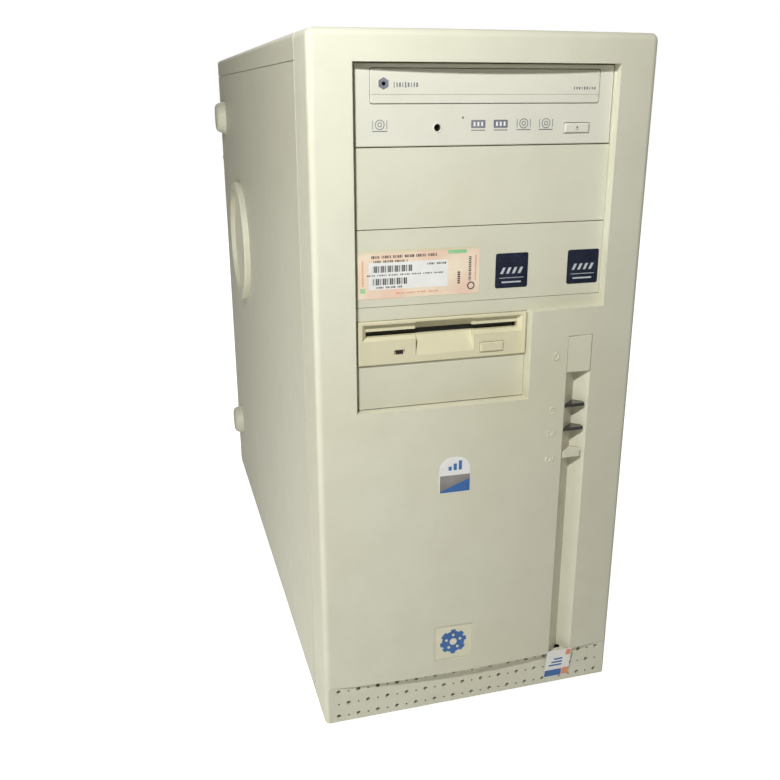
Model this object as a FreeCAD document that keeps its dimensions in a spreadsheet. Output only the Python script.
import FreeCAD, Part
import Sketcher
import os
import re

# Desktop computer tower, in millimetres.
# Frame: X across (the viewer's left is -X), Y into the depth (the front faces -Y), Z up.
# The origin is the middle of the footprint, on the surface that the feet stand on.

SIZES = {
    # the case as a whole
    "case_w": (198, "width over the side panels"),
    "case_top": (420, "top cover above the standing surface"),
    "panel_d": (417, "depth of the side panels"),
    "bezel_d": (36, "front bezel, depth of its side"),
    "bow": (5, "how far the front bulges at its middle"),
    "skirt_z": (6, "lower edge of bezel and side panels"),
    "foot_len": (10, "height of the feet"),
    "foot_rad": (12, "radius of the feet"),
    "foot_inset": (40, "foot centre from the ends of the floor"),
    "sheet_t": (1, "steel sheet"),
    "slip": (0.4, "gap between parts that slide past each other"),
    "fit": (0.3, "gap round a button or a door"),
    "corner_rad": (3, "rounded upper corners of the steel case"),
    "flange_h": (14.2, "side flange of the top cover"),
    "floor_lip": (12, "upturned lip of the chassis floor"),
    # side panels
    "panel_lip": (12, "rear lip of a side panel, turned inwards"),
    "hem_w": (8, "lower hem of a side panel"),
    "vent_back": (127, "side vent centre ahead of the panel's rear edge"),
    "vent_z": (266, "side vent centre height"),
    "vent_rad": (51, "side vent radius"),
    "vent_rise": (5, "side vent height above the panel"),
    "vent_rim": (5, "rim of the side vent"),
    "vent_slot": (2.6, "slot in the side vent"),
    "vent_pitch": (5.6, "slot spacing in the side vent"),
    "grip_back": (33, "finger grip centre ahead of the panel's rear edge"),
    "grip_high": (368.5, "upper finger grip height"),
    "grip_low": (64.7, "lower finger grip height"),
    "grip_rad": (15, "finger grip radius at the panel"),
    "grip_top": (12, "finger grip radius at its top"),
    "grip_rise": (8, "finger grip height above the panel"),
    "grip_soft": (3.5, "rounding of a finger grip"),
    "knob_len": (9, "thumbscrew head length"),
    "knob_rad": (5.4, "thumbscrew head radius"),
    "knob_in": (5.5, "thumbscrew centre in from the side of the case"),
    "knob_shank": (1.8, "thumbscrew shank radius"),
    "knob_reach": (9, "thumbscrew shank length"),
    "knob_high": (330, "upper thumbscrew height"),
    "knob_low": (40, "lower thumbscrew height"),
    # front bezel
    "bezel_wall": (2.5, "moulded wall"),
    "bezel_round": (4, "rounded outer edges of the bezel"),
    "plinth_top": (32, "top of the perforated plinth"),
    "plinth_hole": (1.4, "radius of a plinth hole"),
    "plinth_pitch": (12.9, "spacing of the plinth holes"),
    "plinth_row": (9.15, "spacing of the plinth rows"),
    "plinth_low": (10.2, "lowest plinth row above the surface"),
    "tub_back": (10, "moulding behind the bay plane"),
    "bay_plane": (33, "front of the bay covers ahead of the seam"),
    "recess_top": (404, "top of the drive recess"),
    "recess_side": (2.1, "recess wall to the left of the large bay covers"),
    "recess_rim": (1.3, "recess wall to the right of the large bay covers"),
    "step_drop": (7.3, "step of the recess under the large bays"),
    "low_gap": (0.6, "recess under the small bay cover"),
    "rebate_w": (1.2, "rebate along the rear edge of the bezel's sides"),
    "rebate_deep": (0.8, "depth of that rebate"),
    "channel_x": (53, "left edge of the button channel"),
    "channel_w": (16.5, "width of the button channel"),
    "channel_deep": (7.5, "depth of the channel along its deepest line"),
    "channel_line": (9.4, "deepest line of the channel from its left edge"),
    "badge_x": (-15.4, "middle of the square badge recess"),
    "badge_z": (54.9, "height of the square badge recess"),
    "badge_w": (25, "side of the square badge recess"),
    "badge_deep": (0.9, "depth of the square badge recess"),
    # buttons and lights
    "power_z": (229.4, "lower edge of the power button"),
    "power_w": (15.8, "width of the power button"),
    "power_h": (22.6, "height of the power button"),
    "power_deep": (8, "thickness of the power button"),
    "power_stroke": (2.5, "travel of the power button"),
    "light_w": (13.5, "width of a light bar"),
    "light_t": (2, "thickness of a light bar"),
    "power_light_z": (208.2, "height of the power light"),
    "disk_light_z": (192.7, "height of the disk light"),
    "reset_z": (176, "height of the reset button"),
    "reset_w": (12, "width of the reset button"),
    "reset_h": (4.6, "height of the reset button face"),
    "reset_stroke": (1.5, "travel of the reset button"),
    "board_back": (14, "button board ahead of the seam"),
    "switch_h": (5, "height of a push switch"),
    # drive bays
    "bay_pitch": (42.9, "spacing of the large bays"),
    "cover_w": (148, "width of a large bay cover"),
    "cover_gap": (0.5, "seam between bay covers"),
    "cage_gap": (14, "drive cages ahead of the main board"),
    "cover_t": (2.5, "thickness of a bay cover"),
    "drive_h": (41.3, "height of a large drive"),
    "drive_d": (185, "depth of a large drive"),
    "face_h": (41.6, "height of the optical drive face"),
    "face_t": (5, "thickness of the optical drive face"),
    "door_side": (8.4, "face left at each side of the tray door"),
    "door_h": (17.4, "height of the tray door"),
    "door_low": (21.7, "tray door above the drive face's lower edge"),
    "tray_d": (150, "length of the disc tray"),
    "tray_t": (6, "thickness of the disc tray"),
    "disc_rad": (60.5, "radius of the disc well"),
    "eject_edge": (20.9, "middle of the optical eject button in from the bay's right edge"),
    "eject_z": (8.5, "optical eject button above the face's lower edge"),
    "eject_w": (15.2, "width of the optical eject button"),
    "eject_h": (5.3, "height of the optical eject button"),
    "jack_x": (-28.6, "headphone jack from the middle"),
    "jack_z": (9.4, "headphone jack above the face's lower edge"),
    "jack_rad": (1.9, "radius of the headphone jack"),
    "pin_x": (-14.2, "release pinhole from the middle"),
    "pin_z": (14.4, "release pinhole above the face's lower edge"),
    "pin_rad": (0.6, "radius of the release pinhole"),
    # small bays
    "small_w": (101.6, "width of a small drive"),
    "small_gap": (2.2, "recess to the left of the small bays"),
    "small_rim": (0.8, "recess to the right of the small bays"),
    "small_drop": (33.6, "diskette drive face below the large bays"),
    "small_pitch": (26.3, "spacing of the small bays"),
    "small_h": (25.4, "height of a small drive"),
    "small_d": (146, "depth of a small drive"),
    "small_proud": (1.5, "diskette drive face ahead of the bay plane"),
    "small_face_t": (7, "thickness of the diskette drive face"),
    "slot_side": (4.8, "face left at each side of the diskette slot"),
    "slot_z": (15.8, "diskette slot above the face's lower edge"),
    "slot_h": (3.5, "height of the diskette slot"),
    "thumb_x": (0.5, "thumb notch right of the small bay's middle"),
    "thumb_w": (35.4, "width of the thumb notch"),
    "flap_t": (0.8, "thickness of the dust flap"),
    "disk_eject_x": (29.2, "diskette button right of the small bay's middle"),
    "disk_eject_z": (6, "diskette button above the face's lower edge"),
    "disk_eject_w": (14.2, "width of the diskette button"),
    "disk_eject_h": (5.5, "height of the diskette button"),
    "hard_z": (168, "bottom of the hard disk"),
    "hard_h": (26.1, "height of the hard disk"),
    # power supply
    "psu_w": (150, "width of the power supply"),
    "psu_h": (86, "height of the power supply"),
    "psu_d": (140, "depth of the power supply"),
    "psu_x": (9, "middle of the power supply"),
    "psu_z": (323, "bottom of the power supply"),
    "psu_rim": (5, "rear panel overlap round the power supply"),
    "fan_rad": (38, "radius of the fan holes"),
    "fan_w": (80, "side of a fan frame"),
    "fan_t": (25, "thickness of a fan frame"),
    "hub_rad": (16, "radius of a fan hub"),
    "post_rad": (2.5, "radius of a fan's bearing post"),
    "blade_w": (17, "width of a fan blade"),
    "blade_t": (1.4, "thickness of a fan blade"),
    "blade_tilt": (38, "pitch of a fan blade, in degrees"),
    "strut_w": (3, "width of a fan frame's struts"),
    "strut_t": (2, "thickness of a fan frame's struts"),
    "screw_pitch": (71.5, "spacing of the fan screws"),
    "key_rad": (6.2, "radius of the rocker switch key"),
    "inlet_w": (27.4, "width of the power inlet"),
    "inlet_h": (19.4, "height of the power inlet"),
    "inlet_d": (22, "depth of the power inlet"),
    # board and cards
    "tray_gap": (7, "board tray inside the right panel"),
    "stud_len": (6.5, "board stand-off length"),
    "board_t": (1.6, "board thickness"),
    "board_w": (244, "board size along the depth"),
    "board_h": (305, "board height"),
    "board_z": (14, "lower edge of the board"),
    "board_gap": (2, "board edge to the rear panel"),
    "io_h": (158.8, "length of the port opening"),
    "io_w": (44.4, "width of the port opening"),
    "io_z": (158, "lower edge of the port opening"),
    "slot_low": (28, "lowest card slot height"),
    "slot_pitch": (20.32, "spacing of the card slots"),
    "slot_open_h": (12.8, "height of a card slot opening"),
    "slot_reach": (104, "length of a card slot opening"),
    "cover_h": (18.4, "height of a slot cover"),
    "cool_w": (90, "side of the processor cooler"),
    "cool_h": (36, "height of the cooler's fins"),
    "rear_fan_x": (-30, "rear fan centre"),
    "rear_fan_z": (262, "rear fan centre height"),
}
SLOTS = 7
CARD_SLOT = 5
BLADES = 7

# Places worked out from the sizes.
PLACES = {
    "seam_y": "(bow + bezel_d - panel_d - knob_len) / 2",
    "front_y": "(seam_y - bezel_d - bow)",
    "bay_y": "(seam_y - bay_plane)",
    "end_y": "(seam_y + panel_d)",
    "rear_y": "(end_y - sheet_t - slip)",
    "wall_y": "(rear_y - sheet_t)",
    "side_x": "(case_w / 2)",
    "frame_x": "(case_w / 2 - sheet_t - slip)",
    "floor_z": "foot_len",
    "roof_z": "(case_top - sheet_t)",
    "panel_top": "(case_top - flange_h - slip)",
    "bow_rad": "(((case_w / 2)^2 + bow^2) / (2 * bow))",
    "tray_x": "(side_x - sheet_t - tray_gap)",
    "board_x": "(tray_x - sheet_t - stud_len - board_t)",
    "board_y": "(wall_y - board_gap - board_w)",
    "cage_d": "(board_y - seam_y - cage_gap)",
    "vent_y": "(end_y - vent_back)",
    "grip_y": "(end_y - grip_back)",
    "recess_left": "(cover_w / 2 + recess_side)",
    "recess_w": "(cover_w + recess_side + recess_rim)",
    "drive_w": "(cover_w - 2)",
    "eject_x": "(cover_w / 2 - eject_edge)",
    "door_w": "(cover_w - 2 * door_side)",
    "tray_w": "(door_w - 3.2)",
    "optic_z": "(recess_top - cover_gap - face_h)",
    "bay_low": "(optic_z - 2 * bay_pitch)",
    "recess_step": "(bay_low - step_drop)",
    "small_low": "(bay_low - small_drop)",
    "blank_low": "(small_low - small_pitch)",
    "recess_low": "(blank_low - low_gap)",
    "recess_small_w": "(small_w + small_gap + small_rim)",
    "small_x": "(small_gap + small_w / 2 - recess_left)",
    "slot_w": "(small_w - 2 * slot_side)",
    "case_y": "(bay_y + face_t)",
    "small_face_y": "(bay_y - small_proud)",
    "small_y": "(small_face_y + small_face_t)",
    "small_left": "(small_x - small_w / 2)",
    "channel_mid": "(channel_x + channel_w / 2)",
    "light_mid": "(channel_x + light_w / 2 + 0.5)",
    "touch_y": "(front_y + bow * (channel_mid / side_x)^2)",
    "board_front": "(seam_y - board_back)",
    "psu_y": "(wall_y - psu_d)",
    "psu_fan_x": "(psu_x - psu_w / 2 + sheet_t + fan_w / 2 + 1)",
    "psu_fan_z": "(psu_z + psu_h / 2)",
    "inlet_x": "(psu_x + psu_w / 4)",
    "inlet_z": "(psu_z + psu_h / 4 + sheet_t)",
    "switch_z": "(inlet_z + inlet_h / 2 + 20)",
    "key_y": "(wall_y - 4.1)",
}

doc = FreeCAD.newDocument("tower")
sheet = doc.addObject("Spreadsheet::Sheet", "Sizes")
places = doc.addObject("Spreadsheet::Sheet", "Places")
reader = doc.addObject("Spreadsheet::Sheet", "Reader")
NODES = []


def bound(rule):
    """Turn a rule written with size and place names into a sheet expression."""
    def swap(match):
        word = match.group(0)
        if word in PLACES:
            return "Places." + word
        return "Sizes." + word if word in SIZES else word
    return re.sub(r"[a-z][a-z_]+", swap, str(rule))


def fill_sheets():
    """Put every driving size in one sheet and the places worked out from them in the other."""
    for row, (alias, (number, meaning)) in enumerate(SIZES.items(), start=1):
        sheet.set("A%d" % row, alias)
        sheet.set("B%d" % row, str(number))
        sheet.setAlias("B%d" % row, alias)
        sheet.set("C%d" % row, meaning)
    doc.recompute()
    for row, (alias, rule) in enumerate(PLACES.items(), start=1):
        places.set("A%d" % row, alias)
        places.set("B%d" % row, "=" + bound(rule))
        places.setAlias("B%d" % row, alias)
        doc.recompute()


def size(alias):
    """The number behind a size or place name."""
    return float((sheet if alias in SIZES else places).get(alias))


def bind(obj, props):
    """Bind properties of a document object to rules."""
    for prop, rule in props.items():
        obj.setExpression(prop, bound(rule))
    return obj


def move(obj, at, turn=None):
    """Put an object at a point given by three rules, turned about an axis first if asked."""
    if turn:
        axis, angle = turn
        spin = FreeCAD.Rotation(FreeCAD.Vector(*axis), angle)
        obj.Placement = FreeCAD.Placement(FreeCAD.Vector(), spin)
    for axis_name, rule in zip("xyz", at):
        obj.setExpression(".Placement.Base." + axis_name, bound(rule))
    return obj


def box(low, span):
    """A block from its lowest corner and its three sides."""
    obj = doc.addObject("Part::Box", "block")
    bind(obj, dict(zip(("Length", "Width", "Height"), span)))
    return move(obj, low)


def centred(middle_x, middle_z, y, wide, deep, high):
    """A block centred across and in height, starting at the depth y."""
    low = ("%s - (%s) / 2" % (middle_x, wide), y, "%s - (%s) / 2" % (middle_z, high))
    return box(low, (wide, deep, high))


TURNS = {"x": ((0, 1, 0), 90), "y": ((1, 0, 0), -90), "z": None}


def rod(radius, length, base, along="z"):
    """A cylinder from its base point along an axis."""
    obj = bind(doc.addObject("Part::Cylinder", "rod"), {"Radius": radius, "Height": length})
    return move(obj, base, TURNS[along])


def cone(low_radius, high_radius, length, base, turn=None):
    """A cone frustum from its base point."""
    obj = bind(doc.addObject("Part::Cone", "cone"),
               {"Radius1": low_radius, "Radius2": high_radius, "Height": length})
    return move(obj, base, turn)


def funnel(mouth_x, mouth_z, floor_x, floor_z, front, deep):
    """A cutter that narrows into the depth, from a mouth to a floor; each is a pair of limits."""
    limits = {"Xmin": mouth_x[0], "Xmax": mouth_x[1], "Zmin": mouth_z[0], "Zmax": mouth_z[1],
              "X2min": floor_x[0], "X2max": floor_x[1], "Z2min": floor_z[0], "Z2max": floor_z[1],
              "Ymin": "0", "Ymax": deep}
    return move(bind(doc.addObject("Part::Wedge", "funnel"), limits), ("0", front, "0"))


def join(*parts):
    """Fuse several objects into one."""
    if len(parts) == 1:
        return parts[0]
    obj = doc.addObject("Part::MultiFuse", "joined")
    obj.Shapes = list(parts)
    return obj


def less(base, *tools):
    """Cut tools away from a base."""
    obj = doc.addObject("Part::Cut", "cut")
    obj.Base = base
    obj.Tool = join(*tools)
    return obj


def common(first, second):
    """What two objects share."""
    obj = doc.addObject("Part::MultiCommon", "common")
    obj.Shapes = [first, second]
    return obj


def group(*parts):
    """Several separate solids kept together."""
    obj = doc.addObject("Part::Compound", "group")
    obj.Links = list(parts)
    return obj


def rounded(base, radius, chosen):
    """Fillet the edges that a test picks out."""
    doc.recompute()
    obj = doc.addObject("Part::Fillet", "rounded")
    obj.Base = base
    edges = enumerate(base.Shape.Edges, start=1)
    obj.Edges = [(index, radius, radius) for index, edge in edges if chosen(edge)]
    return obj


def node(label, obj):
    """Name a finished sub-part; the name is its file's name."""
    obj.Label = label
    NODES.append(obj)
    return obj


def runs_along(edge, axis):
    """Whether a straight edge runs along an axis."""
    if edge.Curve.TypeId != "Part::GeomLine":
        return False
    along = edge.tangentAt(edge.FirstParameter)
    return abs(getattr(along, axis)) > 0.99


def new_body(name):
    """A PartDesign body with its origin."""
    return doc.addObject("PartDesign::Body", name)


def new_sketch(body, plane):
    """An empty sketch on one of the body's own origin planes."""
    sketch = body.newObject("Sketcher::SketchObject", "outline")
    faces = [item for item in body.Origin.OriginFeatures if item.Role == plane]
    sketch.AttachmentSupport = [(faces[0], "")]
    sketch.MapMode = "FlatFace"
    return sketch


def outline(body, plane, points):
    """A closed sketch through points whose two coordinates are rules."""
    sketch = new_sketch(body, plane)
    count = len(points)
    start = [FreeCAD.Vector(number(first), number(second), 0) for first, second in points]
    for index in range(count):
        sketch.addGeometry(Part.LineSegment(start[index], start[(index + 1) % count]), False)
    for index in range(count):
        sketch.addConstraint(Sketcher.Constraint("Coincident", index, 2, (index + 1) % count, 1))
    for index, (first, second) in enumerate(points):
        for kind, rule, at in (("DistanceX", first, start[index].x), ("DistanceY", second, start[index].y)):
            place = sketch.addConstraint(Sketcher.Constraint(kind, -1, 1, index, 1, at))
            sketch.setExpression("Constraints[%d]" % place, bound(rule))
    return sketch


def number(rule):
    """The present value of a rule, read through a cell that nothing else depends on."""
    reader.set("A1", "=" + bound(rule))
    reader.recompute()
    return float(reader.get("A1"))


def pad(body, sketch, length, back=False):
    """Raise a sketch by a bound length."""
    feature = body.newObject("PartDesign::Pad", "pad")
    feature.Profile = sketch
    feature.Reversed = back
    return bind(feature, {"Length": length})


def revolve(body, sketch, axis):
    """Turn a sketch all the way round one of its own axes."""
    feature = body.newObject("PartDesign::Revolution", "turned")
    feature.Profile = sketch
    feature.ReferenceAxis = (sketch, [axis])
    feature.Angle = 360
    return feature


def upper_corner(edge):
    """Whether an edge runs into the depth along the top of the case."""
    return runs_along(edge, "y") and edge.BoundBox.ZMin > size("roof_z") - 1


def chassis():
    """Floor, front plate, rear panel, top cover and board tray of the steel case."""
    inside_d = "(wall_y - seam_y - sheet_t)"
    front = "seam_y + sheet_t"
    floor = [box(("-frame_x", front, "floor_z"), ("2 * frame_x", inside_d, "sheet_t"))]
    for side in ("-frame_x", "frame_x - sheet_t"):
        floor.append(box((side, front, "floor_z"), ("sheet_t", inside_d, "floor_lip")))
    node("chassis_floor", join(*floor))

    plate = box(("-frame_x", "seam_y", "floor_z"), ("2 * frame_x", "sheet_t", "roof_z - floor_z"))
    plate = rounded(plate, size("corner_rad"), upper_corner)
    through = "3 * sheet_t"
    before = "seam_y - sheet_t"
    openings = [
        box(("-cover_w / 2", before, "bay_low - fit"), ("cover_w", through, "3 * bay_pitch")),
        box(("small_left - 1", before, "blank_low - 1"),
            ("small_w + 2", through, "small_low + small_h - blank_low + 2")),
        box(("channel_x - 1", before, "reset_z - 8"),
            ("channel_w + 2", through, "power_z + power_h - reset_z + 8")),
    ]
    for row in range(5):
        for column in range(8):
            openings.append(rod("3", through, ("-52 + 15 * %d" % column, before, "60 + 15 * %d" % row), "y"))
    node("front_plate", less(plate, *openings))

    back = box(("-frame_x", "wall_y", "floor_z"), ("2 * frame_x", "sheet_t", "roof_z - floor_z"))
    back = rounded(back, size("corner_rad"), upper_corner)
    outside = "wall_y - sheet_t"
    openings = [
        centred("psu_x", "psu_z + psu_h / 2", outside,
                "psu_w - 2 * psu_rim", through, "psu_h - 2 * psu_rim"),
        box(("board_x + board_t + 1 - io_w", outside, "io_z"), ("io_w", through, "io_h")),
        rod("fan_rad", through, ("rear_fan_x", outside, "rear_fan_z"), "y"),
    ]
    for slot in range(SLOTS):
        sill = "slot_low + %d * slot_pitch - slot_open_h / 2" % slot
        openings.append(box(("board_x - slot_reach", outside, sill), ("slot_reach", through, "slot_open_h")))
    for side in (-1, 1):
        for height in ("knob_high", "knob_low"):
            openings.append(rod("knob_shank + fit", through,
                                ("%d * (side_x - knob_in)" % side, outside, height), "y"))
        for corner in (-1, 1):
            openings.append(rod("2", through, ("rear_fan_x + %d * screw_pitch / 2" % side, outside,
                                               "rear_fan_z + %d * screw_pitch / 2" % corner), "y"))
    node("rear_panel", less(back, *openings))

    shell = box(("-side_x", "seam_y", "case_top - flange_h"), ("case_w", "panel_d", "flange_h"))
    shell = rounded(shell, size("corner_rad"), upper_corner)
    hollow = box(("sheet_t - side_x", "seam_y - 1", "case_top - flange_h - 1"),
                 ("case_w - 2 * sheet_t", "panel_d + 2", "flange_h + 1 - sheet_t"))
    hollow = rounded(hollow, size("corner_rad") - size("sheet_t"), upper_corner)
    node("top_cover", less(shell, hollow))

    wall = box(("tray_x - sheet_t", "board_y - 12", "floor_z + sheet_t"),
               ("sheet_t", "wall_y - board_y + 12", "roof_z - floor_z - sheet_t"))
    node("board_tray", less(wall, box(("tray_x - 2 * sheet_t", "vent_y - 30", "vent_z - 30"),
                                      (through, "60", "60"))))


def feet():
    """Four rubber feet, each turned from its half section."""
    solids = []
    for side in (-1, 1):
        for end in ("seam_y + foot_inset", "rear_y - foot_inset"):
            body = new_body("foot")
            section = outline(body, "XZ_Plane", [
                ("0", "0"), ("foot_rad - 2", "0"), ("foot_rad", "foot_len - 4"),
                ("foot_rad", "foot_len"), ("0", "foot_len")])
            revolve(body, section, "V_Axis")
            move(body, ("%d * (frame_x - foot_rad - floor_lip)" % side, end, "0"))
            solids.append(body)
    node("feet", group(*solids))


def side_panels():
    """Both side panels with their lips, finger grips and thumbscrews, and the round vent."""
    for name, side in (("left", -1), ("right", 1)):
        skin = "-side_x" if side < 0 else "side_x - sheet_t"
        lip = "-side_x" if side < 0 else "side_x - panel_lip"
        hem = "-side_x" if side < 0 else "side_x - hem_w"
        front = "seam_y + slip"
        sheets = [
            box((skin, front, "skirt_z"), ("sheet_t", "panel_d - slip", "panel_top - skirt_z")),
            box((lip, "end_y - sheet_t", "skirt_z"), ("panel_lip", "sheet_t", "panel_top - skirt_z")),
            box((hem, front, "skirt_z"), ("hem_w", "panel_d - slip", "sheet_t")),
        ]
        holes = []
        outward = ((0, 1, 0), 90 * side)
        for height in ("grip_high", "grip_low"):
            centre = ("%d * (side_x - sheet_t)" % side, "grip_y", height)
            grip = cone("grip_rad", "grip_top", "grip_rise + sheet_t", centre, outward)
            top_x = size("side_x") + size("grip_rise") - 0.1
            sheets.append(rounded(grip, size("grip_soft"), lambda edge: edge.Length > 1
                                  and min(abs(edge.BoundBox.XMin), abs(edge.BoundBox.XMax)) > top_x))
            holes.append(cone("grip_rad - sheet_t", "grip_top - sheet_t", "grip_rise - 3",
                              centre, outward))
            dish = bind(doc.addObject("Part::Sphere", "dish"), {"Radius": "2 * grip_rad"})
            holes.append(move(dish, ("%d * (side_x + grip_rise + 2 * grip_rad - 1.5)" % side,
                                     "grip_y", height)))
        lip_x = "%d * (side_x - knob_in)" % side
        for height in ("knob_high", "knob_low"):
            holes.append(rod("knob_shank + 0.05", "3 * sheet_t",
                             (lip_x, "end_y - 2 * sheet_t", height), "y"))
        if side < 0:
            holes.append(rod("vent_rad - vent_rim", "4 * sheet_t",
                             ("-side_x - 2 * sheet_t", "vent_y", "vent_z"), "x"))
        node(name + "_side_panel", less(join(*sheets), *holes))
        screws = [thumbscrew(lip_x, height) for height in ("knob_high", "knob_low")]
        node(name + "_thumbscrews", group(*screws))
    side_vent()


def thumbscrew(middle_x, height):
    """A knurled thumbscrew whose shank points to the front."""
    body = new_body("thumbscrew")
    section = outline(body, "XZ_Plane", [
        ("0", "-knob_reach"), ("knob_shank", "-knob_reach"), ("knob_shank", "0"), ("knob_rad - 1.5", "0"),
        ("knob_rad - 1.5", "1.5"), ("knob_rad", "1.5"), ("knob_rad", "knob_len - 0.8"),
        ("knob_rad - 0.8", "knob_len"), ("0", "knob_len")])
    revolve(body, section, "V_Axis")
    doc.recompute()
    notch = outline(body, "XY_Plane", [("knob_rad - 0.5", "-0.5"), ("knob_rad + 1", "-0.5"),
                                       ("knob_rad + 1", "0.5"), ("knob_rad - 0.5", "0.5")])
    groove = body.newObject("PartDesign::Pocket", "knurl")
    groove.Profile = notch
    groove.Midplane = True
    bind(groove, {"Length": "4 * knob_len"})
    doc.recompute()
    ring = body.newObject("PartDesign::PolarPattern", "knurls")
    ring.Originals = [groove]
    ring.Axis = (notch, ["N_Axis"])
    ring.Angle = 360
    ring.Occurrences = 24
    body.Tip = ring
    return move(body, (middle_x, "end_y", height), ((1, 0, 0), -90))


def side_vent():
    """The round plastic vent in the left panel: a raised rim round slanting slots."""
    outer = ("-side_x - vent_rise", "vent_y", "vent_z")
    rim = rod("vent_rad", "vent_rise", outer, "x")
    outermost = -size("side_x") - size("vent_rise") + 0.1
    rim = rounded(rim, 2, lambda edge: edge.BoundBox.XMax < outermost)
    neck = rod("vent_rad - vent_rim - fit", "vent_rise + sheet_t", outer, "x")
    well = rod("vent_rad - vent_rim - 2", "vent_rise - 1.2", outer, "x")
    slots = []
    reach = size("vent_rad") - size("vent_rim") - 5
    pitch = size("vent_pitch")
    count = int(reach / pitch)
    for step in range(-count, count + 1):
        half = (reach ** 2 - (step * pitch) ** 2) ** 0.5
        slot = doc.addObject("Part::Box", "slot")
        bind(slot, {"Length": "4 * vent_rise", "Width": "vent_slot"})
        slot.Height = 2 * half
        turn = FreeCAD.Rotation(FreeCAD.Vector(1, 0, 0), -35)
        corner = turn.multVec(FreeCAD.Vector(0, step * pitch - size("vent_slot") / 2, -half))
        slot.Placement = FreeCAD.Placement(corner, turn)
        slots.append(move_by(slot, corner, ("-side_x - 2 * vent_rise", "vent_y", "vent_z")))
    node("side_vent", less(join(rim, neck), well, *slots))


def move_by(obj, offset, at):
    """Put an already turned object at an offset from a bound point."""
    for axis_name, shift, rule in zip("xyz", offset, at):
        obj.setExpression(".Placement.Base." + axis_name, bound("%s + %.4f" % (rule, shift)))
    return obj


def bowed_block(low_z, high_z, inset):
    """A block the width of the bezel whose front bulges, set in from its outer faces."""
    deep = "bezel_d + bow - %s" % inset
    high = "(%s) - (%s)" % (high_z, low_z)
    block = box(("%s - side_x" % inset, "front_y + %s" % inset, low_z),
                ("case_w - 2 * %s" % inset, deep, high))
    curve = rod("bow_rad - %s" % inset, high, ("0", "front_y + bow_rad", low_z))
    return common(block, curve)


def front_bezel():
    """The moulded front: bowed shell, drive recess, button channel, badge recess and plinth."""
    outer = rounded(bowed_block("skirt_z", "case_top", "0"), size("bezel_round"),
                    lambda edge: not edge.BoundBox.YMax > size("seam_y") - 1
                    and edge.BoundBox.ZMax > size("skirt_z") + 1
                    or edge.BoundBox.ZMin > size("case_top") - 1 and runs_along(edge, "y"))
    outer = less(outer, box(("-side_x", "front_y - 1", "skirt_z - 1"),
                            ("case_w", "bow + 1", "plinth_top - skirt_z + 1")))
    hollow = bowed_block("skirt_z + bezel_wall", "case_top - bezel_wall", "bezel_wall")
    below = box(("-side_x", "front_y", "skirt_z"),
                ("case_w", "bow + bezel_wall", "plinth_top + bezel_wall - skirt_z"))
    shell = less(outer, less(hollow, below))

    tub_d = "bay_y - front_y + tub_back"
    tub = join(
        box(("-recess_left - bezel_wall", "front_y", "recess_step - bezel_wall"),
            ("recess_w + 2 * bezel_wall", tub_d, "recess_top - recess_step + 2 * bezel_wall")),
        box(("-recess_left - bezel_wall", "front_y", "recess_low - bezel_wall"),
            ("recess_small_w + 2 * bezel_wall", tub_d, "recess_step - recess_low")))
    tub = common(tub, bowed_block("plinth_top", "case_top - 1", "1"))
    channel_tub = common(
        box(("channel_x - bezel_wall", "front_y", "plinth_top + 0.5"),
            ("channel_w + 2 * bezel_wall", "channel_deep + bezel_wall + bow",
             "power_z + power_h + 2 * bezel_wall - plinth_top")),
        bowed_block("plinth_top", "case_top - 1", "1"))
    badge_tub = common(
        centred("badge_x", "badge_z", "front_y", "badge_w + 3", "bezel_wall + 2", "badge_w + 3"),
        bowed_block("plinth_top", "case_top - 1", "1"))
    moulding = join(shell, tub, channel_tub, badge_tub)

    recess_d = "bay_y - front_y + 1"
    recess = [
        box(("-recess_left", "front_y - 1", "recess_step"),
            ("recess_w", recess_d, "recess_top - recess_step")),
        box(("-recess_left", "front_y - 1", "recess_low"),
            ("recess_small_w", recess_d, "recess_step - recess_low + 0.1")),
    ]
    behind = [
        box(("-cover_w / 2 - fit", "front_y", "bay_low - fit"),
            ("cover_w + 2 * fit", "tub_back + bezel_d", "recess_top - bay_low + fit")),
        box(("small_left - fit", "front_y", "recess_low"),
            ("small_w + 2 * fit", "tub_back + bezel_d", "small_low + small_h + fit - recess_low")),
    ]
    cuts = [channel_groove(),
            box(("channel_mid - power_w / 2 - fit", "front_y - 1", "power_z - fit"),
                ("power_w + 2 * fit", "bezel_d", "power_h + 2 * fit")),
            centred("light_mid", "reset_z", "front_y - 1",
                    "reset_w + 2 * fit", "bezel_d", "reset_h + 2 * fit"),
            centred("badge_x", "badge_z", "front_y - 1",
                    "badge_w", "badge_deep + 1 + bow * (badge_x / side_x)^2", "badge_w")]
    for side in ("-side_x - 1", "side_x - rebate_deep"):
        cuts.append(box((side, "seam_y - rebate_w", "skirt_z - 1"),
                        ("rebate_deep + 1", "rebate_w + 1", "case_top - skirt_z + 2")))
    for height in ("power_light_z", "disk_light_z"):
        cuts.append(centred("light_mid", height, "front_y - 1",
                            "light_w + 0.1", "bezel_d", "light_t + 0.1"))
    node("front_bezel", less(less(moulding, *(recess + behind)), *(cuts + plinth_holes())))


def channel_groove():
    """Cutter for the button channel: a steep left side and a gentler right side meet in a line."""
    body = new_body("groove")
    right = "channel_x + channel_w"
    section = outline(body, "XY_Plane", [
        ("channel_x", "front_y - 2"), (right, "front_y - 2"),
        (right, "front_y + bow * ((%s) / side_x)^2" % right),
        ("channel_x + channel_line", "touch_y + channel_deep"),
        ("channel_x", "front_y + bow * (channel_x / side_x)^2")])
    pad(body, section, "power_z - plinth_top + 1")
    return move(body, ("0", "0", "plinth_top - 1"))


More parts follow.
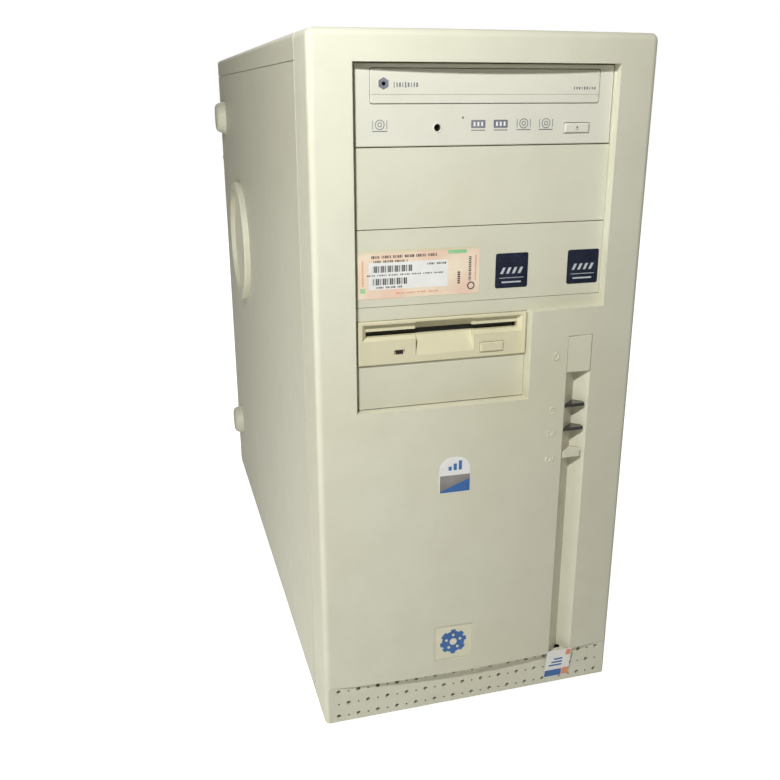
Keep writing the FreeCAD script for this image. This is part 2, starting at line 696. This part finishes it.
def plinth_holes():
    """Cutters for the three staggered rows of round holes in the plinth."""
    holes = []
    for row in range(3):
        count = 14 if row == 1 else 15
        for index in range(count):
            middle = "%.1f * plinth_pitch" % (index - (count - 1) / 2)
            holes.append(rod("plinth_hole", "bow + 2 * bezel_wall",
                             (middle, "front_y + bow - 2", "plinth_low + %d * plinth_row" % row), "y"))
    return holes


def bay_cover(label, middle_x, low, wide, high):
    """A bay cover moulded as a shallow tray: a plain face with a rim behind it."""
    body = new_body("cover")
    half = "(%s) / 2" % wide
    face = outline(body, "XZ_Plane", [("-" + half, "0"), (half, "0"), (half, high), ("-" + half, high)])
    pad(body, face, "6 * cover_t", back=True)
    doc.recompute()
    inner = "(%s - cover_t)" % half
    rim = outline(body, "XZ_Plane", [("-" + inner, "cover_t"), (inner, "cover_t"),
                                     (inner, "%s - cover_t" % high), ("-" + inner, "%s - cover_t" % high)])
    rim.AttachmentOffset = FreeCAD.Placement(FreeCAD.Vector(0, 0, -size("cover_t")), FreeCAD.Rotation())
    rim.setExpression(".AttachmentOffset.Base.z", bound("-cover_t"))
    hollow = body.newObject("PartDesign::Pocket", "hollow")
    hollow.Profile = rim
    hollow.Type = "ThroughAll"
    doc.recompute()
    body.Tip = hollow
    node(label, move(body, (middle_x, "bay_y", low)))
    return body


def bay_covers():
    """Two large bay covers and a small one."""
    for label, step in (("upper_bay_cover", 1), ("lower_bay_cover", 0)):
        bay_cover(label, "0", "bay_low + %d * bay_pitch" % step, "cover_w", "(bay_pitch - cover_gap)")
    bay_cover("small_bay_cover", "small_x", "blank_low", "small_w",
              "(small_low - blank_low - cover_gap)")


def drive_cages():
    """Sheet steel walls that carry the large and the small drives."""
    walls = []
    for side in ("-cover_w / 2 - sheet_t", "cover_w / 2"):
        walls.append(box((side, "seam_y + sheet_t", "bay_low - 3"),
                         ("sheet_t", "cage_d", "roof_z - bay_low + 3")))
    shelf = box(("-cover_w / 2 - sheet_t", "seam_y + sheet_t", "bay_low - 3 - sheet_t"),
                ("cover_w + 2 * sheet_t", "cage_d", "sheet_t"))
    node("large_drive_cage", join(shelf, *walls))
    top = "bay_low - 3 - sheet_t"
    low = "hard_z - 8"
    walls = [box(("small_left - sheet_t", "seam_y + sheet_t", low),
                 ("small_w + 2 * sheet_t", "cage_d", "sheet_t"))]
    for side in ("small_left - sheet_t", "small_left + small_w"):
        walls.append(box((side, "seam_y + sheet_t", low),
                         ("sheet_t", "cage_d", "%s - (%s)" % (top, low))))
    node("small_drive_cage", join(*walls))


def optical_drive():
    """Disc drive: steel case, moulded face, sliding tray with its door, eject button, pickup."""
    middle_z = "optic_z + drive_h / 2"
    shell = centred("0", middle_z, "case_y", "drive_w", "drive_d", "drive_h")
    inside = centred("0", middle_z, "case_y - 1", "drive_w - 2 * sheet_t", "drive_d - sheet_t + 1",
                     "drive_h - 2 * sheet_t")
    node("optical_case", less(shell, inside))

    door_z = "(optic_z + door_low)"
    face = centred("0", "optic_z + face_h / 2", "bay_y", "cover_w", "face_t", "face_h")
    face = rounded(face, 0.8, lambda edge: edge.BoundBox.YMax < size("bay_y") + 0.1)
    through = "face_t + 2"
    front = "bay_y - 1"
    door_gap = rounded(box(("-door_w / 2 - fit", front, door_z + " - fit"),
                           ("door_w + 2 * fit", through, "door_h + 2 * fit")),
                       1.5, lambda edge: runs_along(edge, "y"))
    cuts = [door_gap,
            rod("jack_rad", through, ("jack_x", front, "optic_z + jack_z"), "y"),
            rod("pin_rad", through, ("pin_x", front, "optic_z + pin_z"), "y"),
            centred("eject_x", "optic_z + eject_z", front,
                    "eject_w + 2 * fit", through, "eject_h + 2 * fit")]
    node("optical_face", less(face, *cuts))

    door = rounded(box(("-door_w / 2", "bay_y", door_z), ("door_w", "face_t", "door_h")),
                   1.2, lambda edge: runs_along(edge, "y"))
    door = rounded(door, 0.6, lambda edge: edge.BoundBox.YMax < size("bay_y") + 0.1)
    crease = box(("-door_w / 2 - 1", "bay_y - 1", door_z + " + 4.2"), ("door_w + 2", "1.25", "0.35"))
    node("tray_door", less(door, crease))

    tray_z = door_z + " + 4"
    plate = box(("-tray_w / 2", "case_y", tray_z), ("tray_w", "tray_d", "tray_t"))
    centre = "case_y + disc_rad + 8"
    well = rod("disc_rad", "tray_t", ("0", centre, tray_z + " + tray_t / 2"))
    inner_well = rod("41", "tray_t", ("0", centre, tray_z + " + tray_t / 3"))
    slot = box(("-20", centre, tray_z + " - 1"),
               ("40", "tray_d - disc_rad - 18", "tray_t + 2"))
    hole = rod("20", "tray_t + 2", ("0", centre, tray_z + " - 1"))
    node("disc_tray", less(plate, well, inner_well, slot, hole))

    base = box(("-30", "case_y + 40", "optic_z + sheet_t"), ("60", "110", "6"))
    hub = rod("14", "9", ("0", centre, "optic_z + sheet_t + 6"))
    lens = rod("3", "4", ("0", centre + " + 35", "optic_z + sheet_t + 6"))
    node("optical_pickup", join(base, hub, lens))
    push_button("optical_eject_button", "eject_x", "optic_z + eject_z", "bay_y - 0.6", "eject_w", "eject_h",
                "face_t + 2", 1.0)


def push_button(label, middle_x, middle_z, front, wide, high, deep, softness):
    """A moulded button with rounded front edges and a rounded outline."""
    body = new_body("button")
    half_w = "(%s) / 2" % wide
    half_h = "(%s) / 2" % high
    face = outline(body, "XZ_Plane", [("-" + half_w, "-" + half_h), (half_w, "-" + half_h),
                                      (half_w, half_h), ("-" + half_w, half_h)])
    block = pad(body, face, deep, back=True)
    doc.recompute()
    soft = body.newObject("PartDesign::Fillet", "soft_edges")
    names = ["Edge%d" % index for index, edge in enumerate(block.Shape.Edges, start=1)
             if edge.BoundBox.YMax < 0.01]
    soft.Base = (block, names)
    soft.Radius = softness
    doc.recompute()
    body.Tip = soft
    return node(label, move(body, (middle_x, front, middle_z)))


def diskette_drive():
    """Diskette drive: case, moulded face with its slot and thumb notch, dust flap, button."""
    middle_z = "small_low + small_h / 2"
    shell = centred("small_x", middle_z, "small_y", "small_w", "small_d", "small_h")
    inside = centred("small_x", middle_z, "small_y - 1", "small_w - 2 * sheet_t", "small_d - sheet_t + 1",
                     "small_h - 2 * sheet_t")
    node("diskette_case", less(shell, inside))

    face = centred("small_x", middle_z, "small_face_y", "small_w", "small_face_t", "small_h")
    face = rounded(face, 0.6, lambda edge: edge.BoundBox.YMax < size("small_face_y") + 0.1)
    front = "small_face_y - 1"
    slot_low = "(small_low + slot_z)"
    slot_mid = "small_low + slot_z + slot_h / 2"
    half = "slot_w / 2"
    thumb_mid = "(small_x + thumb_x)"
    cuts = [
        funnel(("small_x - %s - 2.4" % half, "small_x + %s + 2.4" % half),
               (slot_low + " - 1.6", slot_low + " + 7.9"),
               ("small_x - %s" % half, "small_x + %s" % half),
               (slot_low, slot_low + " + 6.9"), "small_face_y", "2.6"),
        funnel((thumb_mid + " - thumb_w / 2", thumb_mid + " + thumb_w / 2"),
               ("small_low + 4.5", slot_low + " + 8.2"),
               (thumb_mid + " - thumb_w / 2 + 0.6", thumb_mid + " + thumb_w / 2 - 0.6"),
               (slot_low + " - 0.8", slot_low + " + 7.8"), "small_face_y", "small_face_t - 2"),
        centred("small_x", slot_mid, front, "slot_w", "small_face_t + 2", "slot_h"),
        centred("small_x + disk_eject_x", "small_low + disk_eject_z", front, "disk_eject_w + 2 * fit",
                "small_face_t + 2", "disk_eject_h + 2 * fit"),
        centred("small_x - 26.8", "small_low + 6.8", front, "6.4", "2.2", "2.8"),
    ]
    node("diskette_face", less(face, *cuts))

    flap = centred("small_x", slot_mid, "small_y + fit", "slot_w - 1", "flap_t", "slot_h + 1")
    pin_at = ("small_left + sheet_t + 0.1", "small_y + fit + flap_t",
              "small_low + slot_z + slot_h + flap_t")
    pin = rod("flap_t", "small_w - 2 * sheet_t - 0.2", pin_at, "x")
    node("dust_flap", join(flap, pin))
    push_button("diskette_button", "small_x + disk_eject_x", "small_low + disk_eject_z", "small_face_y - 1",
                "disk_eject_w", "disk_eject_h", "small_face_t + 4", 0.6)


def hard_disk():
    """Hard disk: cast case with a raised lid and a circuit board under it."""
    low = ("small_left", "seam_y + 12", "hard_z")
    case = box(low, ("small_w", "small_d", "hard_h - 2"))
    case = rounded(case, 3, lambda edge: runs_along(edge, "z"))
    lid = box(("small_left + 4", "seam_y + 16", "hard_z + hard_h - 2"),
              ("small_w - 8", "small_d - 8", "2"))
    lid = rounded(lid, 6, lambda edge: runs_along(edge, "z"))
    circuit = box(("small_left + 6", "seam_y + 30", "hard_z - 3"), ("small_w - 12", "100", "3"))
    node("hard_disk", group(join(case, lid), circuit))


def front_controls():
    """Power and reset buttons, two light bars and the small board that they work on."""
    board = box(("channel_mid - 14", "board_front", "reset_z - 10"),
                ("28", "board_t", "power_z + power_h - reset_z + 12"))
    parts = [board]
    switches = (("channel_mid", "power_z + power_h / 2", "8"), ("light_mid", "reset_z", "5"))
    for middle, height, wide in switches:
        parts.append(centred(middle, height, "board_front - switch_h", wide, "switch_h", wide))
    node("button_board", join(*parts))

    for label, height in (("power_light", "power_light_z"), ("disk_light", "disk_light_z")):
        bar = centred("light_mid", height, "touch_y", "light_w", "board_front - touch_y", "light_t")
        node(label, rounded(bar, 0.7, lambda edge: edge.BoundBox.YMax < size("touch_y") + 0.1
                            and runs_along(edge, "z")))

    buttons = (
        ("power_button", "channel_mid", "power_z + power_h / 2", "power_w", "power_h", "power_deep",
         "power_stroke"),
        ("reset_button", "light_mid", "reset_z", "reset_w", "reset_h", "channel_deep + 4",
         "reset_stroke"))
    for label, middle, height, wide, high, deep, stroke in buttons:
        cap = rounded(centred(middle, height, "touch_y", wide, deep, high), 0.6,
                      lambda edge: edge.BoundBox.YMax < size("touch_y") + 0.1)
        stem = rod("1.5", "board_front - switch_h - touch_y - %s - slip - 2" % stroke,
                   (middle, "touch_y + 2", height), "y")
        node(label, join(cap, stem))


def fan_frame(label, side, deep, bore, centre, turn):
    """A square fan frame with its bore, four screw holes, hub seat and four struts."""
    half = "%s / 2" % side
    frame = box(("0", "0", "0"), (side, side, deep))
    frame = rounded(frame, 3, lambda edge: runs_along(edge, "z"))
    holes = [rod(bore, "%s + 2" % deep, (half, half, "-1"))]
    for across in (-1, 1):
        for up in (-1, 1):
            reach = "(%s / 2 - 4.25)" % side
            holes.append(rod("2.1", "%s + 2" % deep, ("%s + %d * %s" % (half, across, reach),
                                                      "%s + %d * %s" % (half, up, reach), "-1")))
    struts = [rod("hub_rad", "strut_t", (half, half, "0")),
              rod("post_rad", "%s - 8" % deep, (half, half, "0"))]
    for step in range(4):
        strut = doc.addObject("Part::Box", "strut")
        bind(strut, {"Length": bore + " + 0.5", "Width": "strut_w", "Height": "strut_t"})
        spin = FreeCAD.Rotation(FreeCAD.Vector(0, 0, 1), 45 + 90 * step)
        strut.Placement = FreeCAD.Placement(FreeCAD.Vector(), spin)
        aside = spin.multVec(FreeCAD.Vector(0, -size("strut_w") / 2, 0))
        struts.append(move_by(strut, aside, (half, half, "0")))
    made = join(less(frame, *holes), *struts)
    made.Placement = FreeCAD.Placement(FreeCAD.Vector(), turn)
    corner = turn.multVec(FreeCAD.Vector(-size(side) / 2, -size(side) / 2, 0))
    node(label, move_by(made, corner, centre))


def fan_rotor(label, bore, deep, centre, turn):
    """A fan's hub with its pitched blades; it turns on the frame's bearing post."""
    hub = rod("hub_rad", "%s - strut_t - 2" % deep, ("0", "0", "strut_t + 0.5"))
    hub = rounded(hub, 1.5, lambda edge: edge.BoundBox.ZMin > 5)
    blades = [less(hub, rod("post_rad + 0.05", "%s - 7" % deep, ("0", "0", "0")))]
    tilt = FreeCAD.Rotation(FreeCAD.Vector(1, 0, 0), size("blade_tilt"))
    corner = tilt.multVec(FreeCAD.Vector(0, -size("blade_w") / 2, -size("blade_t") / 2))
    corner.x = size("hub_rad") - 2
    for step in range(BLADES):
        blade = bind(doc.addObject("Part::Box", "blade"), {
            "Length": bore + " - hub_rad", "Width": "blade_w", "Height": "blade_t"})
        spin = FreeCAD.Rotation(FreeCAD.Vector(0, 0, 1), 360.0 * step / BLADES)
        blade.Placement = FreeCAD.Placement(spin.multVec(corner), spin.multiply(tilt))
        blades.append(move_by(blade, spin.multVec(corner), ("0", "0", "%s / 2" % deep)))
    made = join(*blades)
    made.Placement = FreeCAD.Placement(FreeCAD.Vector(), turn)
    node(label, move_by(made, FreeCAD.Vector(), centre))


def fan_guard(label, centre):
    """A wire finger guard: rings on a cross, in front of a fan's hole."""
    wires = []
    for ring in range(4):
        torus = bind(doc.addObject("Part::Torus", "ring"),
                     {"Radius1": "fan_rad - 1 - %d" % (9 * ring), "Radius2": "0.9"})
        wires.append(move(torus, (centre[0], "rear_y + 1.4", centre[1]), ((1, 0, 0), 90)))
    for across, up in ((1, 0), (0, 1)):
        wires.append(centred(centre[0], centre[1], "rear_y", "2 + %d * 2 * fan_rad" % across, "1.2",
                             "2 + %d * 2 * fan_rad" % up))
    node(label, join(*wires))


def power_supply():
    """Power supply: steel base and cover, fan, power inlet and rocker switch."""
    inner_w = "psu_w - 2 * sheet_t"
    inner_h = "psu_h - sheet_t"
    left = "psu_x - psu_w / 2"
    base = join(box((left + " + sheet_t", "psu_y", "psu_z"), (inner_w, "psu_d", "sheet_t")),
                box((left + " + sheet_t", "psu_y", "psu_z"), (inner_w, "sheet_t", inner_h)),
                box((left + " + sheet_t", "wall_y - sheet_t", "psu_z"), (inner_w, "sheet_t", inner_h)))
    back = "wall_y - 2 * sheet_t"
    through = "4 * sheet_t"
    base = less(base,
                rod("fan_rad - 3", through, ("psu_fan_x", back, "psu_fan_z"), "y"),
                centred("inlet_x", "inlet_z", back, "inlet_w + 0.2", through, "inlet_h + 0.2"),
                centred("inlet_x", "switch_z", back, "21.2", through, "13.2"))
    cover = join(box((left, "psu_y", "psu_z + psu_h - sheet_t"), ("psu_w", "psu_d", "sheet_t")),
                 box((left, "psu_y", "psu_z"), ("sheet_t", "psu_d", "psu_h")),
                 box((left + " + psu_w - sheet_t", "psu_y", "psu_z"), ("sheet_t", "psu_d", "psu_h")))
    slots = [box((left + " - 1", "psu_y + %d" % (20 + 14 * row), "psu_z + 20"),
                 ("4", "6", "psu_h - 40")) for row in range(6)]
    node("psu_case", group(base, less(cover, *slots)))
    turn = FreeCAD.Rotation(FreeCAD.Vector(1, 0, 0), 90)
    centre = ("psu_fan_x", "wall_y - sheet_t", "psu_fan_z")
    fan_frame("psu_fan_frame", "fan_w", "fan_t", "fan_rad", centre, turn)
    fan_rotor("psu_fan", "fan_rad", "fan_t", centre, turn)

    body_d = "(inlet_d - 2 * sheet_t)"
    flange = rounded(centred("inlet_x", "inlet_z", "wall_y", "inlet_w + 6", "1.6", "inlet_h + 6"), 2,
                     lambda edge: runs_along(edge, "y"))
    body = centred("inlet_x", "inlet_z", "wall_y - %s" % body_d, "inlet_w", body_d, "inlet_h")
    socket = rounded(centred("inlet_x", "inlet_z", "wall_y - 15", "inlet_w - 4", "20", "inlet_h - 4"), 3,
                     lambda edge: runs_along(edge, "y") and edge.BoundBox.ZMax > size("inlet_z"))
    blades = [centred("inlet_x + %d" % (7 * side), "inlet_z + %d" % rise, "wall_y - 15.5", "2", "12", "4")
              for side, rise in ((-1, -2), (0, 2), (1, -2))]
    node("power_inlet", join(less(join(flange, body), socket), *blades))

    bezel = centred("inlet_x", "switch_z", "wall_y", "24", "1.4", "16")
    box_part = centred("inlet_x", "switch_z", "wall_y - 12", "21", "12", "13")
    well = centred("inlet_x", "switch_z", "wall_y - 8", "18", "12", "10")
    node("switch_frame", less(join(bezel, box_part), well))
    key = common(rod("key_rad", "17.9", ("inlet_x - 17.9 / 2", "key_y", "switch_z"), "x"),
                 centred("inlet_x", "switch_z", "key_y - 3", "17.9", "key_rad + 4", "8"))
    node("rocker_switch", key)


def main_board():
    """Main board with its stand-offs, connectors, cooler, memory, chipset sink and port block."""
    node("main_board", box(("board_x", "board_y", "board_z"), ("board_t", "board_w", "board_h")))
    studs = []
    for deep in ("10", "board_w / 2", "board_w - 10"):
        for high in ("10", "board_h / 2", "board_h - 10"):
            foot = ("board_x + board_t", "board_y + " + deep, "board_z + " + high)
            studs.append(rod("3", "stud_len", foot, "x"))
    node("board_studs", group(*studs))

    parts = []
    for slot in range(SLOTS):
        low = ("board_x - 11", "board_y + 100", "slot_low + %d * slot_pitch - 9" % slot)
        parts.append(box(low, ("11", "85", "8")))
    for bank in range(4):
        low = ("board_x - 8", "board_y + 16 + %d * 10" % bank, "board_z + 150")
        parts.append(box(low, ("8", "6.4", "140")))
    parts.append(box(("board_x - 10", "board_y + 2", "board_z + 200"), ("10", "9", "52")))
    parts.append(box(("board_x - 9", "board_y + 4", "board_z + 60"), ("9", "9", "56")))
    parts.append(box(("board_x - 5", "vent_y - 30", "vent_z - 30"), ("5", "60", "60")))
    node("board_sockets", group(*parts))

    sticks = []
    for bank in (0, 2):
        low = ("board_x - 36", "board_y + 17.9 + %d * 10" % bank, "board_z + 153.5")
        sticks.append(box(low, ("28", "2.6", "133")))
    node("memory_sticks", group(*sticks))

    cans = []
    for index in range(9):
        foot = ("board_x - 12", "vent_y + 58", "board_z + 172 + %d * 12" % index)
        cans.append(rod("4", "12", foot, "x"))
    node("board_capacitors", group(*cans))

    sink = finned_block("chipset_sink", 40, 12, 6, ("board_x - 16", "board_y + 70", "board_z + 158"))
    cooler = finned_block("cpu_cooler", size("cool_w"), size("cool_h") - 4, 13,
                          ("board_x - 5 - cool_h", "vent_y - cool_w / 2", "vent_z - cool_w / 2"))
    NODES.extend([sink, cooler])
    turn = FreeCAD.Rotation(FreeCAD.Vector(0, 1, 0), -90)
    centre = ("board_x - 5 - cool_h", "vent_y", "vent_z")
    fan_frame("cpu_fan_frame", "fan_w", "fan_t", "fan_rad", centre, turn)
    fan_rotor("cpu_fan", "fan_rad", "fan_t", centre, turn)

    shield = box(("board_x + board_t - io_w - 0.5", "rear_y - sheet_t", "io_z + slip"),
                 ("io_w + 1", "0.6", "io_h - 2 * slip"))
    shield = common(shield, box(("board_x + board_t + 1 - io_w + slip", "wall_y - 1", "io_z"),
                                ("io_w - 2 * slip", "5", "io_h")))
    ports, gaps = port_block()
    node("port_shield", less(shield, *gaps))
    node("rear_ports", group(*ports))


def port_block():
    """Solids of the rear connectors, and the gaps that the port shield leaves for them."""
    ports = []
    gaps = []
    front = "wall_y - 18"
    # rise above the opening's lower edge, width and height: sound, network, bus, parallel, keyboard
    sockets = ((5, 13, 15), (26, 16, 17), (48, 16, 16), (68, 17, 54), (126, 14, 28))
    for rise, wide, high in sockets:
        low = ("board_x - 1 - %d" % wide, front, "io_z + %d" % rise)
        body = box(low, (str(wide), "18 + sheet_t + 1.5", str(high)))
        mouth = box(("board_x + 1 - %d" % wide, "rear_y - 6", "io_z + %d + 2" % rise),
                    (str(wide - 4), "12", str(high - 4)))
        ports.append(less(body, mouth))
        gaps.append(box(("board_x - 1 - %d - fit" % wide, "wall_y - 2", "io_z + %d - fit" % rise),
                        ("%d + 2 * fit" % wide, "8", "%d + 2 * fit" % high)))
    return ports, gaps


def finned_block(label, side, fin_high, fins, corner):
    """A square heat sink: a base plate with a row of fins, made flat and stood on edge."""
    body = new_body("sink")
    wide = str(side)
    plate = outline(body, "YZ_Plane", [("0", "0"), (wide, "0"), (wide, wide), ("0", wide)])
    base = pad(body, plate, "4")
    doc.recompute()
    pitch = side / float(fins)
    fin = outline(body, "YZ_Plane", [("0", "0"), ("%.3f" % (pitch * 0.35), "0"),
                                     ("%.3f" % (pitch * 0.35), wide), ("0", wide)])
    first = pad(body, fin, str(fin_high), back=True)
    doc.recompute()
    row = body.newObject("PartDesign::LinearPattern", "fins")
    row.Originals = [first]
    row.Direction = (plate, ["H_Axis"])
    row.Length = side - pitch * 0.35
    row.Occurrences = fins
    body.Tip = row
    body.Label = label
    return move(body, ("%s + %s" % (corner[0], fin_high), corner[1], corner[2]))


def cards():
    """Graphics card with its bracket and sink, and the covers of the unused slots."""
    height = "(slot_low + %d * slot_pitch - 4 - board_t)" % CARD_SLOT
    node("graphics_card", box(("board_x - slot_reach", "wall_y - 172", height),
                              ("slot_reach - 11", "170", "board_t")))
    sink = box(("board_x - 84", "wall_y - 130", height + " - 12"), ("62", "80", "12"))
    for step in range(6):
        groove = ("board_x - 80 + %d * 10" % step, "wall_y - 131", height + " - 13")
        sink = less(sink, box(groove, ("4", "82", "9")))
    node("graphics_sink", sink)
    covers = []
    for slot in range(SLOTS):
        middle = "slot_low + %d * slot_pitch" % slot
        plate = box(("board_x - slot_reach - 8", "wall_y - sheet_t", "%s - cover_h / 2" % middle),
                    ("slot_reach + 14", "sheet_t", "cover_h"))
        tab = box(("board_x - slot_reach - 8", "wall_y - 11", "%s - cover_h / 2" % middle),
                  ("sheet_t", "11", "cover_h"))
        bracket = join(plate, tab)
        if slot == CARD_SLOT:
            ports = [centred("board_x - 26", middle, "wall_y - 4", "34", "8", "9"),
                     centred("board_x - 76", middle, "wall_y - 4", "30", "8", "9")]
            node("card_bracket", less(bracket, *ports))
            sockets = [centred("board_x - 26", middle, "wall_y - 12", "33", "14", "8"),
                       centred("board_x - 76", middle, "wall_y - 12", "29", "14", "8")]
            node("card_sockets", group(*sockets))
        else:
            covers.append(bracket)
    node("slot_covers", group(*covers))


def rear_fan():
    """The case fan behind the round hole of the rear panel, with its finger guard."""
    turn = FreeCAD.Rotation(FreeCAD.Vector(1, 0, 0), 90)
    centre = ("rear_fan_x", "wall_y", "rear_fan_z")
    fan_frame("rear_fan_frame", "fan_w", "fan_t", "fan_rad", centre, turn)
    fan_rotor("rear_fan", "fan_rad", "fan_t", centre, turn)
    fan_guard("rear_fan_guard", ("rear_fan_x", "rear_fan_z"))


def rear_screws():
    """Screws of the case fan: domed heads on the rear panel."""
    screws = []
    corners = [("rear_fan_x + %d * screw_pitch / 2" % side, "rear_fan_z + %d * screw_pitch / 2" % up)
               for side in (-1, 1) for up in (-1, 1)]
    for middle_x, middle_z in corners:
        head = rounded(rod("3.6", "2.2", (middle_x, "rear_y", middle_z), "y"), 1,
                       lambda edge: edge.BoundBox.YMin > size("rear_y") + 1)
        shank = rod("1.7", "sheet_t + 6", (middle_x, "wall_y - 6", middle_z), "y")
        screws.append(join(head, shank))
    node("fan_screws", group(*screws))


def write_parts():
    """Check every object and every sub-part, then write one file for each sub-part."""
    doc.recompute()
    for obj in doc.Objects:
        faults = [state for state in obj.State if state in ("Invalid", "Error")]
        if faults:
            raise RuntimeError("%s (%s) is %s" % (obj.Name, obj.Label, faults))
    for obj in NODES:
        if obj.Shape.isNull() or not obj.Shape.isValid() or not obj.Shape.Solids:
            raise RuntimeError("%s has no valid solid" % obj.Label)
    os.makedirs("parts", exist_ok=True)
    for obj in NODES:
        obj.Shape.exportStep(os.path.join("parts", obj.Label + ".step"))
        print("%-24s solids %2d  volume %.0f" % (obj.Label, len(obj.Shape.Solids), obj.Shape.Volume))


fill_sheets()
chassis()
feet()
side_panels()
front_bezel()
bay_covers()
drive_cages()
optical_drive()
diskette_drive()
hard_disk()
front_controls()
power_supply()
main_board()
cards()
rear_fan()
rear_screws()
write_parts()
